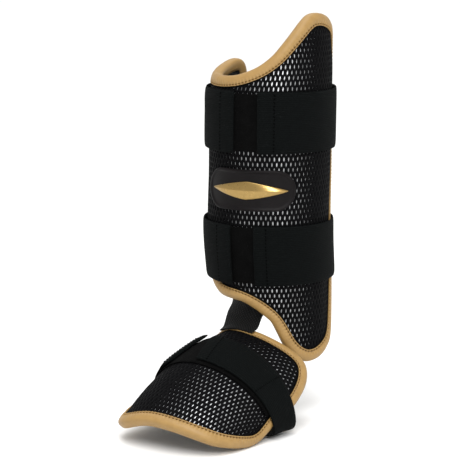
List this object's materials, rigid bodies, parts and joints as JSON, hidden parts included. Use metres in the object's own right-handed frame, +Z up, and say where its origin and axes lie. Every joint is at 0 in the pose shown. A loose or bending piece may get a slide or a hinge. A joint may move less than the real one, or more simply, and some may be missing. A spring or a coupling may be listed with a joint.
{
  "type": "ankle guard",
  "caption": "Padded shin guard with a foot guard hung below it on webbing, elastic straps and gold bound edges, in its worn shape.",
  "frame": {"origin": "on the leg's axis at ankle height, between the shin guard's lower end and the foot guard", "axes": "+Z up the leg, -Y towards the toes, +X towards the side on which the shin guard reaches lower and higher"},
  "size_m": [0.131, 0.2241, 0.3368],
  "materials": {
    "shin_pad": "black open mesh over a satin grey film, padded, black cloth lining",
    "shin_binding": "gold-tan synthetic leather, stitched",
    "upper_loop_patch": "black velvet loop",
    "upper_strap": "black ribbed elastic",
    "lower_loop_patch": "black velvet loop",
    "lower_strap": "black ribbed elastic",
    "badge_patch": "black moulded rubber, matt",
    "badge_emblem": "gold-coated, satin, plain",
    "ankle_webbing": "black woven webbing",
    "foot_pad": "black open mesh over a satin grey film, padded, black cloth lining",
    "foot_binding": "gold-tan synthetic leather, stitched",
    "foot_loop_patch": "black velvet loop",
    "foot_strap": "black ribbed elastic"
  },
  "bodies": {
    "root": {"shin_pad": "shin_pad", "shin_binding": "shin_binding", "upper_loop_patch": "upper_loop_patch", "upper_strap": "upper_strap", "lower_loop_patch": "lower_loop_patch", "lower_strap": "lower_strap", "badge_patch": "badge_patch", "badge_emblem": "badge_emblem", "ankle_webbing": "ankle_webbing", "foot_pad": "foot_pad", "foot_binding": "foot_binding", "foot_loop_patch": "foot_loop_patch", "foot_strap": "foot_strap"}
  },
  "joints": []
}
